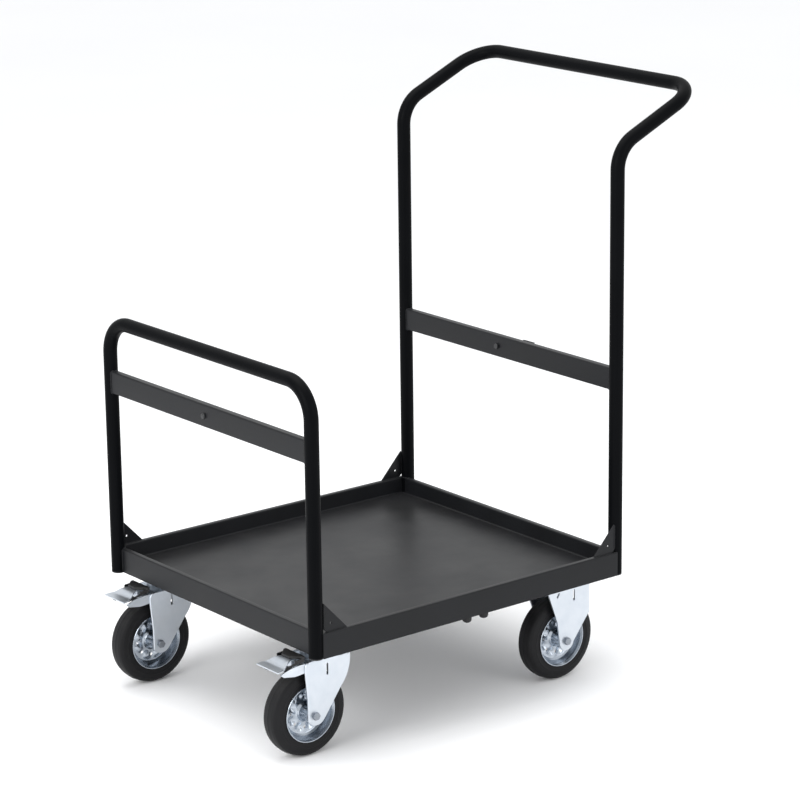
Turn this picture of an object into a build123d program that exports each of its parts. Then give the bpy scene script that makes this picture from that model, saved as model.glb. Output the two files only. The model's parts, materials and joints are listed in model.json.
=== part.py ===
from build123d import *
import math
import os

# A flatbed platform truck: a pressed steel tray on two rigid and two swivelling, braked
# casters, with a low tube hoop at the swivel end and a tall cranked push handle at the other.
#
# Millimetres.  Origin on the floor under the middle of the truck's outer box.
# +X points to the push-handle end, +Y to the far side, +Z up.

os.makedirs("parts", exist_ok=True)

# ---------------------------------------------------------------- driving dimensions
# tray
deck_length = 694.0           # outside of the two end skirts
deck_width = 643.4            # outside of the two side skirts
sheet = 1.5                   # steel sheet of the tray
deck_depth = 31.0             # rim top down to the load floor
skirt_height = 46.0           # rim top down to the skirt's lower edge
rim_width = 11.0              # flat top of the rim

# tubes
tube_diameter = 26.0
tube_wall = 2.0
tube_proud = 1.0              # tube axis beyond the end skirt's face
tube_inset = 1.3              # tube side inside the side skirt's face
tube_bend = 62.0              # centre-line radius of every bend
hoop_rise = 439.5             # rim top to the low hoop's upper axis
crank_rise = 755.5            # rim top to the corner where the handle turns outwards
handle_rise = 843.8           # rim top to the grip's axis
handle_reach = 197.0          # handle's upright to the grip's axis
plug_drop = 1.5               # plug's underside below the skirt
plug_cap = 3.0                # thickness of a plug's cap
plug_depth = 14.0             # plug's stem inside the tube

# crossbars
bar_height = 42.0
bar_thickness = 15.0
bar_wall = 1.5
low_bar_rise = 323.2          # rim top to the middle of the low hoop's bar
handle_bar_rise = 327.6       # rim top to the middle of the handle's bar

# gussets
gusset_leg = 50.0             # along the rim
gusset_height = 53.0          # up the tube
gusset_sheet = 3.0
gusset_hole = 4.5
gusset_hole_place = 15.0      # hole from both edges
gusset_relief = 5.0           # cut-off inner corner

# casters
wheel_diameter = 160.0
tyre_width = 40.0
tyre_height = 27.0            # tread down to the wheel's rolled edge
hub_length = 58.0
hub_diameter = 30.0
sleeve_diameter = 15.0
sleeve_bore = 8.3
cage_wall = 3.0
axle_bolt_diameter = 8.0
axle_hex = 13.0               # across the flats
axle_head_height = 5.4
axle_nut_height = 6.5
cheek = 3.0                   # steel of forks and brackets
head_height = 35.0            # top of the wheel up to the top of the fixing plate
caster_inset = 81.7           # wheel's middle plane in from the side skirt's face
swivel_from_end = 74.0        # swivel axis in from the end skirt's face
swivel_trail = 53.7           # swivel axis to axle
rigid_from_end = 87.8         # rigid axle in from the end skirt's face
rigid_plate_shift = -11.0     # rigid plate's middle from its axle

# fixing plates
plate_sheet = 3.5
swivel_plate_edge = (11.5, 1.5)     # plate beyond the ball race, along X and Y
swivel_hole_edge = 12.5             # hole in from a swivel plate's edge
rigid_plate_size_x = 135.0
rigid_hole_edge = 15.0              # hole in from a rigid plate's edge
plate_corner = 8.0
fixing_bolt = 8.0
fixing_hole = 9.0
fixing_hex = 13.0
fixing_head = 5.3
fixing_nut = 6.5

# swivel head
head_gap = 8.5                # fork crown to fixing plate
ball_ring_radius = 28.0
ball_count = 18
crown_overhang = 7.5          # round crown beyond the cheeks
flank_start = 26.0            # axle to the fold where a cheek splays out
flank_chord = 26.0            # swivel axis to a cheek's back edge
dust_ring = 2.5
dust_gap = 2.0
kingpin_diameter = 12.0
kingpin_head = 22.0
kingpin_head_height = 5.5

# brake
pedal_sheet = 2.5
pedal_tip_width = 65.0
pedal_neck_width = 29.0
pedal_reach = 77.0            # axle to the pedal's tip
pedal_pin_diameter = 6.0
housing_sheet = 2.4
housing_taper = 6.0           # cheeks closing in towards the tip
tab_wall = 2.0
tab_thickness = 4.6
pin_place = (-26.0, -6.0)     # pedal pin from the axle and from the crown's underside

# cross-members under the tray
member_height = 21.0          # fixing plate to the tray's underside
member_side = 4.0             # member's web beyond the fixing plate
member_sheet = 2.0
member_end = 24.0             # end of a member inside the side skirt's face
middle_member_height = 12.0
middle_member_width = 70.0
middle_member_x = 11.5        # from the deck's middle
buffer_spacing = 39.0
buffer_diameter = 17.0
buffer_length = 16.0
buffer_stem = 8.0
buffer_inset = 16.5           # buffer axis inside the side skirt's face
stem_show = 4.0               # buffer's stem above the member's web
nut_thread = 1.0              # bolt end beyond its nut

# small hardware
screw_diameter = 6.0
screw_hex = 10.0
screw_head = 4.0
low_screw_head = 11.0
handle_screw_y = 20.0
hook_y = 5.0
hook_width = 50.0
hook_arm_width = 26.0         # the arm, flush with the back plate's near edge
hook_lift_length = 13.0
hook_sheet = 7.0
hook_reach = 42.0
hook_rise = 20.0
screw_end = 2.0               # low screw beyond the bar

# clearances
weld_gap = 0.1                # between welded pieces
running = 0.05                # radial, shaft in bore
side_play = 1.5               # wheel hub to fork cheek
slip = 0.3                    # other moving faces
bolt_play = 0.2               # radial, bolt in its hole

# ---------------------------------------------------------------- worked out from them
tube_radius = tube_diameter / 2
wheel_radius = wheel_diameter / 2
axle_z = wheel_radius
caster_height = wheel_diameter + head_height
floor_under = caster_height + member_height
floor_top = floor_under + sheet
rim_top = floor_top + deck_depth
skirt_bottom = rim_top - skirt_height
tube_end = skirt_bottom - plug_drop + plug_cap

front_reach = deck_length / 2 - swivel_from_end + swivel_trail + wheel_radius
handle_end = deck_length / 2 + tube_proud + handle_reach + tube_radius
deck_x = (front_reach - handle_end) / 2
side_y = deck_width / 2
front_x = deck_x - deck_length / 2
back_x = deck_x + deck_length / 2
tube_y = side_y - tube_inset - tube_radius
hoop_x = front_x - tube_proud
handle_x = back_x + tube_proud

swivel_x = front_x + swivel_from_end
front_axle_x = swivel_x - swivel_trail
back_axle_x = back_x - rigid_from_end
wheel_y = side_y - caster_inset
rim_edge = wheel_radius - tyre_height
inner_cheek = hub_length / 2 + side_play
outer_cheek = inner_cheek + cheek
crown_top = caster_height - plate_sheet - head_gap
crown_bottom = crown_top - cheek
plate_bottom = caster_height - plate_sheet
cage_outer = sleeve_diameter / 2 + running + cage_wall
crown_radius = outer_cheek + crown_overhang
swivel_plate_size = tuple(2 * (crown_radius + edge) for edge in swivel_plate_edge)
swivel_hole_spacing = tuple(size - 2 * swivel_hole_edge for size in swivel_plate_size)
bolt_row_y = outer_cheek + fixing_hex / 2 + 2 * bolt_play
rigid_plate_size = (rigid_plate_size_x, 2 * (bolt_row_y + rigid_hole_edge))
rigid_hole_spacing = (rigid_plate_size_x - 2 * rigid_hole_edge, 2 * bolt_row_y)

SIDES = {"near": -1, "far": 1}


def finish(part, name):
    """Label a finished piece and write it as its own file."""
    part.label = name
    export_step(part, "parts/" + name + ".step")


def upright(x, y):
    """Plane across the wheel at a caster: local x along X, local y up, normal to -Y."""
    return Plane(origin=(x, y, axle_z), x_dir=(1, 0, 0), z_dir=(0, -1, 0))


def under_crown(x, y):
    """Like upright, with its origin at the underside of the fork's crown."""
    return Plane(origin=(x, y, crown_bottom), x_dir=(1, 0, 0), z_dir=(0, -1, 0))


def wheel_section(x, y):
    """Plane through a wheel's axle: local x along the axle, local y outwards."""
    return Plane(origin=(x, y, axle_z), x_dir=(0, 1, 0), z_dir=(1, 0, 0))


# ---------------------------------------------------------------- tray
with BuildPart() as deck_tray:
    with BuildSketch(Plane.XY.offset(skirt_bottom)) as tray_outline:
        with Locations((deck_x, 0)):
            Rectangle(deck_length, deck_width)
    extrude(amount=skirt_height)
    with BuildSketch(Plane.XY.offset(floor_top)) as tray_inside:
        with Locations((deck_x, 0)):
            Rectangle(deck_length - 2 * rim_width, deck_width - 2 * rim_width)
    extrude(amount=deck_depth, mode=Mode.SUBTRACT)
    with BuildSketch(Plane.XY.offset(skirt_bottom)) as under_floor:
        with Locations((deck_x, 0)):
            Rectangle(deck_length - 2 * sheet, deck_width - 2 * sheet)
    extrude(amount=floor_under - skirt_bottom, mode=Mode.SUBTRACT)
    with BuildSketch(Plane.XY.offset(floor_under)) as rim_channel:
        with Locations((deck_x, 0)):
            Rectangle(deck_length - 2 * sheet, deck_width - 2 * sheet)
            Rectangle(
                deck_length - 2 * rim_width + 2 * sheet,
                deck_width - 2 * rim_width + 2 * sheet,
                mode=Mode.SUBTRACT,
            )
    extrude(amount=rim_top - sheet - floor_under, mode=Mode.SUBTRACT)
    # the four corners are cut round the tubes
    with BuildSketch(Plane.XY.offset(skirt_bottom)) as corner_cuts:
        with Locations(*[(x, s * tube_y) for x in (hoop_x, handle_x) for s in (-1, 1)]):
            Circle(tube_radius + weld_gap)
    extrude(amount=skirt_height, mode=Mode.SUBTRACT)
    with BuildSketch(Plane.XY.offset(skirt_bottom)) as corner_trims:
        with Locations(*[(x, s * side_y) for x in (front_x, back_x) for s in (-1, 1)]):
            Rectangle(2 * (tube_radius - tube_proud), 2 * (side_y - tube_y))
    extrude(amount=skirt_height, mode=Mode.SUBTRACT)
finish(deck_tray.part, "deck_tray")


# ---------------------------------------------------------------- bent tubes
def ring_at(x, y, z):
    """Tube section at a foot, looking up."""
    with BuildSketch(Plane(origin=(x, y, z), x_dir=(1, 0, 0), z_dir=(0, 0, 1))) as section:
        Circle(tube_radius)
        Circle(tube_radius - tube_wall, mode=Mode.SUBTRACT)
    return section.sketch


hoop_top = rim_top + hoop_rise
with BuildPart() as low_hoop:
    with BuildLine() as hoop_path:
        FilletPolyline(
            (hoop_x, -tube_y, tube_end),
            (hoop_x, -tube_y, hoop_top),
            (hoop_x, tube_y, hoop_top),
            (hoop_x, tube_y, tube_end),
            radius=tube_bend,
        )
    sweep(sections=ring_at(hoop_x, -tube_y, tube_end), path=hoop_path.line)
finish(low_hoop.part, "low_hoop")

grip_x = handle_x + handle_reach
grip_z = rim_top + handle_rise
crank_z = rim_top + crank_rise
with BuildPart() as push_handle:
    with BuildLine() as handle_path:
        FilletPolyline(
            (handle_x, -tube_y, tube_end),
            (handle_x, -tube_y, crank_z),
            (grip_x, -tube_y, grip_z),
            (grip_x, tube_y, grip_z),
            (handle_x, tube_y, crank_z),
            (handle_x, tube_y, tube_end),
            radius=tube_bend,
        )
    sweep(sections=ring_at(handle_x, -tube_y, tube_end), path=handle_path.line)
finish(push_handle.part, "push_handle")

with BuildPart() as tube_end_plugs:
    foot_places = [(x, s * tube_y) for x in (hoop_x, handle_x) for s in (-1, 1)]
    with BuildSketch(Plane.XY.offset(tube_end)) as plug_caps:
        with Locations(*foot_places):
            Circle(tube_radius)
    extrude(amount=-plug_cap)
    fillet(tube_end_plugs.faces().group_by(Axis.Z)[0].edges(), radius=plug_cap * 0.6)
    with BuildSketch(Plane.XY.offset(tube_end)) as plug_stems:
        with Locations(*foot_places):
            Circle(tube_radius - tube_wall)
    extrude(amount=plug_depth)
finish(tube_end_plugs.part, "tube_end_plugs")


# ---------------------------------------------------------------- crossbars
def crossbar(x, z, screw_y, screw_hole):
    """Rectangular tube between a pair of uprights, its ends cut to sit round them."""
    with BuildPart() as bar:
        with BuildSketch(Plane(origin=(x, -tube_y, z), x_dir=(1, 0, 0), z_dir=(0, 1, 0))):
            RectangleRounded(bar_thickness, bar_height, 2 * bar_wall)
            RectangleRounded(
                bar_thickness - 2 * bar_wall,
                bar_height - 2 * bar_wall,
                bar_wall,
                mode=Mode.SUBTRACT,
            )
        extrude(amount=2 * tube_y)
        with BuildSketch(Plane.XY.offset(z - bar_height)):
            with Locations((x, -tube_y), (x, tube_y)):
                Circle(tube_radius + weld_gap)
        extrude(amount=2 * bar_height, mode=Mode.SUBTRACT)
        with BuildSketch(Plane(origin=(x - bar_thickness, screw_y, z), z_dir=(1, 0, 0))):
            Circle(screw_hole / 2)
        extrude(amount=2 * bar_thickness, mode=Mode.SUBTRACT)
    return bar.part


low_bar_z = rim_top + low_bar_rise
handle_bar_z = rim_top + handle_bar_rise
screw_hole = screw_diameter + 2 * bolt_play
finish(crossbar(hoop_x, low_bar_z, 0, screw_hole), "low_hoop_bar")
finish(crossbar(handle_x, handle_bar_z, handle_screw_y, screw_hole), "push_handle_bar")


# ---------------------------------------------------------------- gussets
def gusset(x, towards, side):
    """Three-cornered plate standing on the rim, welded to a tube's foot."""
    off_axis = side_y - rim_width / 2 - gusset_sheet / 2 - tube_y
    start = math.sqrt(tube_radius**2 - off_axis**2) + weld_gap
    plate_y = side * (side_y - rim_width / 2) + gusset_sheet / 2
    inner = x + towards * start
    foot = rim_top + weld_gap
    with BuildPart() as plate:
        with BuildSketch(Plane(origin=(inner, plate_y, foot), x_dir=(1, 0, 0), z_dir=(0, -1, 0))):
            with BuildLine():
                Polyline(
                    (0, gusset_relief),
                    (towards * gusset_relief, 0),
                    (towards * gusset_leg, 0),
                    (0, gusset_height),
                    close=True,
                )
            make_face()
            with Locations((towards * gusset_hole_place, gusset_hole_place)):
                Circle(gusset_hole / 2, mode=Mode.SUBTRACT)
        extrude(amount=gusset_sheet)
    return plate.part


for side_name, side in SIDES.items():
    finish(gusset(hoop_x, 1, side), "hoop_gusset_" + side_name)
    finish(gusset(handle_x, -1, side), "handle_gusset_" + side_name)


# ---------------------------------------------------------------- cross-members
def cross_member(x, width, length, height, places, hole):
    """Channel welded under the tray, open upwards, with holes in its web."""
    web = floor_under - height
    with BuildPart() as member:
        with BuildSketch(Plane.XY.offset(web)):
            with Locations((x, 0)):
                Rectangle(width, length)
        extrude(amount=height - weld_gap)
        with BuildSketch(Plane.XY.offset(web + member_sheet)):
            with Locations((x, 0)):
                Rectangle(width - 2 * member_sheet, length)
        extrude(amount=height, mode=Mode.SUBTRACT)
        with BuildSketch(Plane.XY.offset(web)):
            with Locations(*places):
                Circle(hole / 2)
        extrude(amount=member_sheet, mode=Mode.SUBTRACT)
    return member.part


def hole_places(x, y, spacing):
    """The four fixing holes of a caster plate."""
    return [(x + i * spacing[0] / 2, y + j * spacing[1] / 2) for i in (-1, 1) for j in (-1, 1)]


rigid_plate_x = back_axle_x + rigid_plate_shift
front_holes = hole_places(swivel_x, -wheel_y, swivel_hole_spacing)
front_holes += hole_places(swivel_x, wheel_y, swivel_hole_spacing)
back_holes = hole_places(rigid_plate_x, -wheel_y, rigid_hole_spacing)
back_holes += hole_places(rigid_plate_x, wheel_y, rigid_hole_spacing)
buffer_y = side_y - buffer_inset
middle_x = deck_x + middle_member_x
buffer_places = [
    (middle_x + i * buffer_spacing / 2, s * buffer_y) for i in (-1, 1) for s in (-1, 1)
]
member_length = deck_width - 2 * member_end
front_width = swivel_plate_size[0] + 2 * member_side
back_width = rigid_plate_size[0] + 2 * member_side
front_member = cross_member(
    swivel_x, front_width, member_length, member_height, front_holes, fixing_hole
)
back_member = cross_member(
    rigid_plate_x, back_width, member_length, member_height, back_holes, fixing_hole
)
middle_member = cross_member(
    middle_x,
    middle_member_width,
    deck_width - 2 * sheet - 2 * weld_gap,
    middle_member_height,
    buffer_places,
    buffer_stem + 2 * bolt_play,
)
finish(front_member, "front_cross_member")
finish(back_member, "back_cross_member")
finish(middle_member, "middle_cross_member")

buffer_seat = floor_under - middle_member_height
with BuildPart() as underside_buffers:
    with BuildSketch(Plane.XY.offset(buffer_seat)) as buffer_heads:
        with Locations(*buffer_places):
            Circle(buffer_diameter / 2)
    extrude(amount=-buffer_length)
    fillet(underside_buffers.faces().group_by(Axis.Z)[0].edges(), radius=buffer_diameter * 0.35)
    with BuildSketch(Plane.XY.offset(buffer_seat)) as buffer_stems:
        with Locations(*buffer_places):
            Circle(buffer_stem / 2)
    extrude(amount=member_sheet + stem_show)
finish(underside_buffers.part, "underside_buffers")


# ---------------------------------------------------------------- plate bolts and nuts
all_holes = front_holes + back_holes
web_top = caster_height + member_sheet
with BuildPart() as plate_bolts:
    with BuildSketch(Plane.XY.offset(plate_bottom)) as bolt_heads:
        with Locations(*all_holes):
            RegularPolygon(fixing_hex / 2, 6, major_radius=False)
    extrude(amount=-fixing_head)
    with BuildSketch(Plane.XY.offset(plate_bottom)) as bolt_shanks:
        with Locations(*all_holes):
            Circle(fixing_bolt / 2)
    extrude(amount=plate_sheet + member_sheet + fixing_nut + nut_thread)
finish(plate_bolts.part, "plate_bolts")

with BuildPart() as plate_nuts:
    with BuildSketch(Plane.XY.offset(web_top)) as nut_outlines:
        with Locations(*all_holes):
            RegularPolygon(fixing_hex / 2, 6, major_radius=False)
            Circle(fixing_bolt / 2, mode=Mode.SUBTRACT)
    extrude(amount=fixing_nut)
finish(plate_nuts.part, "plate_nuts")


# ---------------------------------------------------------------- wheels
def tyre(x, y):
    """Solid rubber ring with a gently crowned tread and round shoulders."""
    half = tyre_width / 2
    seat = rim_edge - 3
    tread = wheel_radius
    with BuildPart() as ring:
        with BuildSketch(wheel_section(x, y)):
            with BuildLine():
                Line((-half + 3, seat), (half - 3, seat))
                Line((half - 3, seat), (half - 1, seat + 5))
                ThreePointArc((half - 1, seat + 5), (half, seat + 12), (half - 2, tread - 8))
                ThreePointArc((half - 2, tread - 8), (half - 4.5, tread - 4), (half - 9, tread - 1.6))
                ThreePointArc((half - 9, tread - 1.6), (0, tread), (9 - half, tread - 1.6))
                ThreePointArc((9 - half, tread - 1.6), (4.5 - half, tread - 4), (2 - half, tread - 8))
                ThreePointArc((2 - half, tread - 8), (-half, seat + 12), (1 - half, seat + 5))
                Line((1 - half, seat + 5), (3 - half, seat))
            make_face()
        revolve(axis=Axis((x, y, axle_z), (0, 1, 0)))
    return ring.part


def wheel_rim(x, y):
    """Pressed steel wheel: rolled edges, barrel, dished disc with lobes, and a hub tube."""
    seat = rim_edge - 3
    edge = rim_edge
    half = tyre_width / 2
    hub = hub_length / 2
    with BuildPart() as wheel:
        with BuildSketch(wheel_section(x, y)):
            with BuildLine():
                Polyline(
                    (-half + 2.9, seat - 0.1),
                    (half - 2.9, seat - 0.1),
                    (half - 0.9, edge - 0.4),
                    (half + 0.6, edge - 1.4),
                    (half + 0.2, seat - 1.6),
                    (half - 4, seat - 3),
                    (6, seat - 14),
                    (5, hub_diameter / 2 + 6),
                    (12, hub_diameter / 2),
                    (hub, hub_diameter / 2),
                    (hub, cage_outer),
                    (-hub, cage_outer),
                    (-hub, hub_diameter / 2),
                    (-12, hub_diameter / 2),
                    (-5, hub_diameter / 2 + 6),
                    (-6, seat - 14),
                    (4 - half, seat - 3),
                    (-0.2 - half, seat - 1.6),
                    (-0.6 - half, edge - 1.4),
                    (0.9 - half, edge - 0.4),
                    close=True,
                )
            make_face()
        revolve(axis=Axis((x, y, axle_z), (0, 1, 0)))
        # round holes between the lobes
        with BuildSketch(upright(x, y)):
            with PolarLocations((hub_diameter / 2 + seat) / 2 - 3, 8):
                Circle(3.2)
        extrude(amount=half, both=True, mode=Mode.SUBTRACT)
    return wheel.part


def roller_cage(x, y):
    """Roller cage of the hub, a bushed ring that runs on the sleeve."""
    with BuildPart() as cage:
        with BuildSketch(upright(x, y)):
            Circle(cage_outer)
            Circle(sleeve_diameter / 2 + running, mode=Mode.SUBTRACT)
        extrude(amount=hub_length / 2 - 1, both=True)
    return cage.part


def axle_sleeve(x, y):
    """Spacer tube clamped between the cheeks, which the wheel runs on."""
    with BuildPart() as sleeve:
        with BuildSketch(upright(x, y)):
            Circle(sleeve_diameter / 2)
            Circle(sleeve_bore / 2, mode=Mode.SUBTRACT)
        extrude(amount=inner_cheek, both=True)
    return sleeve.part


def axle_bolts(places):
    """Hexagon bolts through the cheeks and sleeve, heads on the near side."""
    with BuildPart() as bolts:
        for x, y in places:
            with BuildSketch(upright(x, y - outer_cheek)):
                RegularPolygon(axle_hex / 2, 6, major_radius=False)
            extrude(amount=axle_head_height)
            with BuildSketch(upright(x, y - outer_cheek)):
                Circle(axle_bolt_diameter / 2)
            extrude(amount=-(2 * outer_cheek + axle_nut_height + nut_thread))
    return bolts.part


def axle_nuts(places):
    """Nuts on the far ends of the axle bolts."""
    with BuildPart() as nuts:
        for x, y in places:
            with BuildSketch(upright(x, y + outer_cheek)):
                RegularPolygon(axle_hex / 2, 6, major_radius=False)
                Circle(axle_bolt_diameter / 2, mode=Mode.SUBTRACT)
            extrude(amount=-axle_nut_height)
    return nuts.part


# ---------------------------------------------------------------- fixing plates
def fixing_plate(x, y, size, spacing):
    """Rectangular plate with rounded corners and four fixing holes."""
    with BuildPart() as plate:
        with BuildSketch(Plane.XY.offset(plate_bottom)):
            with Locations((x, y)):
                RectangleRounded(size[0], size[1], plate_corner)
            with Locations(*hole_places(x, y, spacing)):
                Circle(fixing_hole / 2, mode=Mode.SUBTRACT)
        extrude(amount=plate_sheet)
    return plate.part


# ---------------------------------------------------------------- swivel casters
def swivel_plate(x, y):
    """Fixing plate with the turned-down dust ring of the ball race."""
    with BuildPart() as plate:
        add(fixing_plate(x, y, swivel_plate_size, swivel_hole_spacing))
        with BuildSketch(Plane.XY.offset(plate_bottom)):
            with Locations((x, y)):
                Circle(kingpin_diameter / 2 + bolt_play)
        extrude(amount=plate_sheet, mode=Mode.SUBTRACT)
        with BuildSketch(Plane.XY.offset(plate_bottom)):
            with Locations((x, y)):
                Circle(crown_radius)
                Circle(crown_radius - dust_ring, mode=Mode.SUBTRACT)
        extrude(amount=-(head_gap - dust_gap))
    return plate.part


def swivel_balls(x, y):
    """Ring of balls between the fork's crown and the fixing plate."""
    ball = head_gap / 2 - running
    with BuildPart() as balls:
        with Locations((x, y, crown_top + head_gap / 2)):
            with PolarLocations(ball_ring_radius, ball_count):
                Sphere(ball)
    return balls.part


def kingpin(x, y):
    """Riveted pin that holds the fork's crown to the fixing plate."""
    with BuildPart() as pin:
        with BuildSketch(Plane.XY.offset(crown_bottom - slip)):
            with Locations((x, y)):
                Circle(kingpin_head / 2)
        extrude(amount=-kingpin_head_height)
        fillet(pin.faces().sort_by(Axis.Z)[0].edges(), radius=1.5)
        with BuildSketch(Plane.XY.offset(crown_bottom - slip)):
            with Locations((x, y)):
                Circle(kingpin_diameter / 2)
        extrude(amount=caster_height - crown_bottom + slip)
    return pin.part


def swivel_fork(x, y):
    """Pressed fork: a round crown on the swivel axis and two raked cheeks with splayed flanks."""
    rise = crown_top - axle_z
    flank_y = math.sqrt(crown_radius**2 - flank_chord**2) - cheek / 2
    flank_x = swivel_trail + flank_chord
    cheek_y = inner_cheek + cheek / 2
    with BuildPart() as fork:
        with BuildSketch(Plane.XY.offset(axle_z - 30)):
            for s in (-1, 1):
                with BuildLine():
                    FilletPolyline(
                        (x - 24, y + s * cheek_y),
                        (x + flank_start, y + s * cheek_y),
                        (x + flank_x, y + s * flank_y),
                        radius=14,
                    )
                trace(line_width=cheek)
        extrude(amount=rise + 30)
        with BuildSketch(upright(x, y)):
            with BuildLine():
                Polyline(
                    (-14.5, -8),
                    (-15, 30),
                    (-19, 72),
                    (-20, rise - 14),
                )
                ThreePointArc((-20, rise - 14), (-16.5, rise - 4), (-8, rise))
                Line((-8, rise), (flank_x - 1, rise))
                ThreePointArc((flank_x - 1, rise), (flank_x - 4, rise - 33), (flank_x - 22, rise - 62))
                Polyline(
                    (flank_x - 22, rise - 62),
                    (flank_x - 37, rise - 82),
                    (20, -9),
                )
                ThreePointArc((20, -9), (1, -18), (-14.5, -8))
            make_face()
            Circle(axle_bolt_diameter / 2 + bolt_play, mode=Mode.SUBTRACT)
            with Locations((28, rise - 22)):
                SlotOverall(22, 4, rotation=90, mode=Mode.SUBTRACT)
        extrude(amount=crown_radius + cheek, both=True, mode=Mode.INTERSECT)
        with BuildSketch(Plane.XY.offset(crown_bottom)):
            with Locations((x + swivel_trail, y)):
                Circle(crown_radius)
            with Locations((x + (swivel_trail - 8) / 2, y)):
                Rectangle(swivel_trail + 8, 2 * outer_cheek)
        extrude(amount=cheek)
        outer_top = fork.faces().sort_by(Axis.Z)[-1].edges().filter_by(Axis.X)
        fillet(outer_top, radius=cheek * 0.8)
        with BuildSketch(Plane.XY.offset(crown_bottom)):
            with Locations((x + swivel_trail, y)):
                Circle(kingpin_diameter / 2 + running)
        extrude(amount=cheek, mode=Mode.SUBTRACT)
    return fork.part


def brake_housing(x, y):
    """Folded steel cheeks that reach forward from the fork and carry the pedal."""
    side = inner_cheek - housing_sheet / 2 - weld_gap
    bridge_top = -weld_gap
    with BuildPart() as housing:
        with BuildSketch(Plane.XY.offset(crown_bottom - 30)):
            for s in (-1, 1):
                with BuildLine():
                    Polyline(
                        (x + 4, y + s * side),
                        (x - 34, y + s * side),
                        (x - 66, y + s * (side - housing_taper)),
                    )
                trace(line_width=housing_sheet)
        extrude(amount=45)
        with BuildSketch(under_crown(x, y)):
            with BuildLine():
                Polyline((6, -16), (-20, -17), (-40, -19), (-60, -17), (-66, -12.5))
                ThreePointArc((-66, -12.5), (-50, -4.5), (-30, bridge_top))
                Line((-30, bridge_top), (6, bridge_top))
                Line((6, bridge_top), (6, -16))
            make_face()
            with Locations(pin_place):
                Circle(pedal_pin_diameter / 2 + weld_gap, mode=Mode.SUBTRACT)
        extrude(amount=side + housing_sheet, both=True, mode=Mode.INTERSECT)
        with BuildSketch(Plane.XY.offset(crown_bottom + bridge_top - housing_sheet)):
            with Locations((x - 6, y)):
                Rectangle(20, 2 * side)
        extrude(amount=housing_sheet)
    return housing.part


def pedal_pin(x, y):
    """Pin across the housing that the pedal rocks on."""
    with BuildPart() as pin:
        with BuildSketch(under_crown(x, y)):
            with Locations(pin_place):
                Circle(pedal_pin_diameter / 2)
        extrude(amount=inner_cheek - weld_gap, both=True)
    return pin.part


def brake_pedal(x, y):
    """Curved steel pedal, wide at its tip and narrow at its neck, with a boss on the pin."""
    tip = -pedal_reach
    tip_half = pedal_tip_width / 2
    neck_half = pedal_neck_width / 2
    with BuildPart() as pedal:
        with BuildSketch(under_crown(x, y)):
            with BuildLine():
                sole = Line((tip, -3.5), (-64, -2))
                upturn = TangentArc(sole @ 1, (-53, 2), tangent=sole % 1)
                ramp = TangentArc(upturn @ 1, (-38, 7), tangent=upturn % 1)
                Line(ramp @ 1, (-22, 7))
            trace(line_width=pedal_sheet)
        extrude(amount=tip_half, both=True)
        with BuildSketch(Plane.XY.offset(crown_bottom - 20)):
            with BuildLine():
                Polyline(
                    (x + tip - 3, y - tip_half),
                    (x + tip + 10, y - tip_half + 1),
                    (x - 37, y - neck_half),
                    (x - 20, y - neck_half),
                    (x - 20, y + neck_half),
                    (x - 37, y + neck_half),
                    (x + tip + 10, y + tip_half - 1),
                    (x + tip - 3, y + tip_half),
                    close=True,
                )
            make_face()
        extrude(amount=40, mode=Mode.INTERSECT)
        with BuildSketch(under_crown(x, y)):
            with Locations((-31, 0)):
                Rectangle(7, 13)
            with Locations(pin_place):
                Circle(pedal_pin_diameter / 2 + 3)
        extrude(amount=neck_half - 2, both=True)
        with BuildSketch(under_crown(x, y)):
            with Locations(pin_place):
                Circle(pedal_pin_diameter / 2 + running)
        extrude(amount=pedal_neck_width, both=True, mode=Mode.SUBTRACT)
    return pedal.part


def release_tab(x, y):
    """Moulded tab over the pedal's neck, with two thin wings that line the housing's cheeks."""
    lining = inner_cheek - housing_sheet - 2 * weld_gap - slip
    wing_y = lining - tab_wall / 2
    neck_half = pedal_neck_width / 2
    with BuildPart() as tab:
        with BuildSketch(Plane.XY.offset(crown_bottom - 20)):
            for s in (-1, 1):
                with BuildLine():
                    Polyline(
                        (x - 16, y + s * wing_y),
                        (x - 34, y + s * wing_y),
                        (x - 61, y + s * (wing_y - housing_taper)),
                    )
                trace(line_width=tab_wall)
        extrude(amount=40)
        with BuildSketch(under_crown(x, y)):
            with BuildLine():
                Polyline(
                    (-36.5, 4.2),
                    (-37, 8.6),
                    (-17, 10),
                    (-17, 3.5),
                    (-30, 1.5),
                    (-44, -2),
                    (-60, -8),
                    (-60, -4.5),
                    (-50, 0),
                    close=True,
                )
            make_face()
        extrude(amount=inner_cheek, both=True, mode=Mode.INTERSECT)
        with BuildSketch(Plane.XY.offset(crown_bottom + 8.6)):
            with BuildLine():
                Polyline(
                    (x - 38, y - neck_half + 4),
                    (x - 34, y - neck_half),
                    (x - 21, y - lining),
                    (x - 16, y - lining),
                    (x - 16, y + lining),
                    (x - 21, y + lining),
                    (x - 34, y + neck_half),
                    (x - 38, y + neck_half - 4),
                    close=True,
                )
            make_face()
        extrude(amount=tab_thickness)
    return tab.part


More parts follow.
